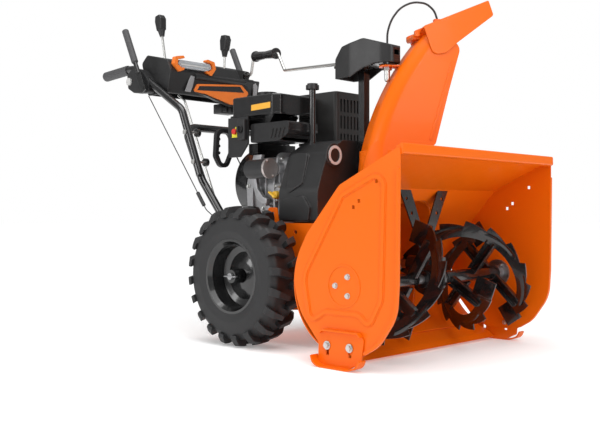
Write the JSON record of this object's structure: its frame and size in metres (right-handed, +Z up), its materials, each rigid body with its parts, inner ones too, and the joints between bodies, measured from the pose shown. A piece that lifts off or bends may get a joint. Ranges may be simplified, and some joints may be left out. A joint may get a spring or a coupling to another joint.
{
  "type": "two-stage snowblower",
  "caption": "Walk-behind two-stage snowblower: serrated augers feed a fan that throws snow from a swivelling chute; engine, wheels and handles behind.",
  "frame": {"origin": "on the ground, under the middle of the machine's length and width", "axes": "+X forward, +Y to the operator's left, +Z up"},
  "size_m": [1.4406, 0.77, 1.071],
  "materials": {
    "orange_paint": "gloss enamel",
    "black_paint": "gloss enamel",
    "zinc": "zinc plated",
    "steel": "machined",
    "casting": "sand cast",
    "black_plastic": "fine texture",
    "orange_plastic": "smooth",
    "red_plastic": "smooth",
    "rubber": "matte",
    "tyre": "matte",
    "clear_lens": "clear"
  },
  "bodies": {
    "machine": {"auger_housing": "orange_paint", "side_plates": "orange_paint", "impeller_drum": "orange_paint", "scraper_blade": "orange_paint", "skid_shoes": "orange_paint", "housing_bolts": "zinc", "shaft_bearings": "steel", "gearcase": "black_paint", "chute_post": "black_paint", "gear_head_cover": "black_plastic", "tractor_frame": "orange_paint", "belts": "rubber", "engine_block": "casting", "blower_housing": "black_paint", "starter_motor": "black_plastic", "fuel_tank": "black_paint", "muffler": "steel", "muffler_guard": "black_paint", "carb_cover": "black_plastic", "control_panel": "black_plastic", "oil_tube": "black_paint", "belt_cover": "black_plastic", "handle_bow": "black_paint", "handle_tubes": "black_paint", "handle_fittings": "zinc", "grips": "rubber", "lever_brackets": "black_plastic", "dash_console": "black_plastic", "dash_trim": "orange_plastic", "headlight_lens": "clear_lens", "clutch_cables": "black_plastic"},
    "auger": {"auger_shaft": "steel", "augers": "black_paint"},
    "fan": {"impeller_shaft": "steel", "impeller": "black_paint"},
    "chute": {"chute": "orange_paint", "chute_gear": "zinc", "deflector_cable": "black_plastic"},
    "deflector": {"deflector": "orange_paint"},
    "chute_crank": {"crank_rod": "zinc"},
    "crank_grip": {"crank_grip": "black_plastic"},
    "head_pinion": {"crank_pinion": "zinc"},
    "wheels": {"axle": "zinc", "rims": "black_paint", "tyres": "tyre"},
    "drive_disc": {"drive_plate": "steel"},
    "cross_shaft": {"hex_shaft": "zinc"},
    "friction_wheel": {"friction_wheel": "rubber"},
    "crankshaft": {"crankshaft": "steel"},
    "idler": {"idler_arm": "black_paint"},
    "fuel_cap": {"fuel_cap": "black_plastic"},
    "oil_cap": {"oil_cap": "black_plastic"},
    "stop_button": {"stop_button": "red_plastic"},
    "choke_knob": {"choke_knob": "black_plastic"},
    "recoil_handle": {"recoil_handle": "black_plastic"},
    "lever_right": {"clutch_lever_right": "rubber"},
    "lever_left": {"clutch_lever_left": "rubber"},
    "speed_lever": {"speed_lever": "zinc"},
    "deflector_lever": {"deflector_lever": "zinc"},
    "shift_rod": {"shift_rod": "zinc"}
  },
  "joints": [
    {"name": "auger_spin", "type": "hinge", "parent": "machine", "child": "auger", "pos_m": [0.53746, 0, 0.204], "axis": [0, 1, 0], "continuous": true},
    {"name": "fan_spin", "type": "hinge", "parent": "machine", "child": "fan", "pos_m": [0.37146, 0, 0.242], "axis": [1, 0, 0], "continuous": true},
    {"name": "chute_turn", "type": "hinge", "parent": "machine", "child": "chute", "pos_m": [0.38947, 0, 0.431], "axis": [0, 0, 1], "range_deg": [-130, 26]},
    {"name": "deflector_tilt", "type": "hinge", "parent": "chute", "child": "deflector", "pos_m": [0.43626, 0.05989, 0.893], "axis": [-0.788, 0.6157, 0], "range_deg": [0, 28]},
    {"name": "crank_turn", "type": "hinge", "parent": "machine", "child": "chute_crank", "pos_m": [0.26747, 0, 0.8345], "axis": [0.9713, -0.2255, -0.0759], "range_deg": [-80, 392]},
    {"name": "crank_grip_spin", "type": "hinge", "parent": "chute_crank", "child": "crank_grip", "pos_m": [-0.24475, 0.11893, 0.93672], "axis": [0.9713, -0.2255, -0.0759], "continuous": true},
    {"name": "head_pinion_turn", "type": "hinge", "parent": "machine", "child": "head_pinion", "pos_m": [0.26747, 0, 0.8345], "axis": [1, 0, 0], "range_deg": [-80, 392]},
    {"name": "wheel_spin", "type": "hinge", "parent": "machine", "child": "wheels", "pos_m": [0.07147, 0, 0.203], "axis": [0, 1, 0], "continuous": true},
    {"name": "cross_shaft_spin", "type": "hinge", "parent": "machine", "child": "cross_shaft", "pos_m": [0.00946, 0, 0.2865], "axis": [0, 1, 0], "continuous": true},
    {"name": "friction_wheel_slide", "type": "slide", "parent": "cross_shaft", "child": "friction_wheel", "axis": [0, 1, 0], "range_m": [-0.04, 0.04]},
    {"name": "crankshaft_spin", "type": "hinge", "parent": "machine", "child": "crankshaft", "pos_m": [0.07147, 0, 0.482], "axis": [1, 0, 0], "continuous": true},
    {"name": "drive_disc_spin", "type": "hinge", "parent": "machine", "child": "drive_disc", "pos_m": [0.07147, 0, 0.2865], "axis": [1, 0, 0], "continuous": true},
    {"name": "idler_swing", "type": "hinge", "parent": "machine", "child": "idler", "pos_m": [0.25146, -0.12, 0.3], "axis": [-1, 0, 0], "range_deg": [0, 9]},
    {"name": "fuel_cap_turn", "type": "hinge", "parent": "machine", "child": "fuel_cap", "pos_m": [-0.04854, -0.06, 0.75], "axis": [0, 0, 1], "range_deg": [0, 90]},
    {"name": "oil_cap_turn", "type": "hinge", "parent": "machine", "child": "oil_cap", "pos_m": [0.15546, -0.066, 0.76], "axis": [0, 0, 1], "range_deg": [0, 90]},
    {"name": "stop_button_press", "type": "slide", "parent": "machine", "child": "stop_button", "axis": [0, 1, 0], "range_m": [0, 0.0025], "stiffness_N_per_m": 400},
    {"name": "choke_turn", "type": "hinge", "parent": "machine", "child": "choke_knob", "pos_m": [-0.05153, -0.17, 0.644], "axis": [0, -1, 0], "range_deg": [0, 90]},
    {"name": "recoil_pull", "type": "slide", "parent": "machine", "child": "recoil_handle", "axis": [-0.9889, 0, -0.1483], "range_m": [0, 0.1], "stiffness_N_per_m": 60, "springref_m": -0.03},
    {"name": "lever_right_press", "type": "hinge", "parent": "machine", "child": "lever_right", "pos_m": [-0.45854, -0.245, 0.805], "axis": [0, -1, 0], "range_deg": [0, 25], "stiffness_Nm_per_rad": 3, "springref_deg": -14.32},
    {"name": "lever_left_press", "type": "hinge", "parent": "machine", "child": "lever_left", "pos_m": [-0.45854, 0.245, 0.805], "axis": [0, -1, 0], "range_deg": [0, 25], "stiffness_Nm_per_rad": 3, "springref_deg": -14.32},
    {"name": "speed_lever_swing", "type": "hinge", "parent": "machine", "child": "speed_lever", "pos_m": [-0.45054, -0.15, 0.858], "axis": [0, 1, 0], "range_deg": [-13, 16]},
    {"name": "deflector_lever_swing", "type": "hinge", "parent": "machine", "child": "deflector_lever", "pos_m": [-0.39853, 0.06, 0.85], "axis": [0, 1, 0], "range_deg": [-23, 0.1]},
    {"name": "shift_rod_slide", "type": "slide", "parent": "machine", "child": "shift_rod", "axis": [0.3925, 0.0369, -0.919], "range_m": [-0.01, 0.01]}
  ],
  "couplings": [
    {"joint": "fan_spin", "follows": "auger_spin", "ratio": -10},
    {"joint": "crank_turn", "follows": "chute_turn", "ratio": -3},
    {"joint": "head_pinion_turn", "follows": "chute_turn", "ratio": -3},
    {"joint": "cross_shaft_spin", "follows": "wheel_spin", "ratio": -4.2},
    {"joint": "drive_disc_spin", "follows": "crankshaft_spin", "ratio": 0.6962},
    {"joint": "idler_swing", "follows": "lever_right_press", "ratio": 0.34},
    {"joint": "friction_wheel_slide", "follows": "speed_lever_swing", "m_per_rad": 0.14},
    {"joint": "shift_rod_slide", "follows": "speed_lever_swing", "m_per_rad": 0.035},
    {"joint": "deflector_lever_swing", "follows": "deflector_tilt", "ratio": -0.8}
  ]
}
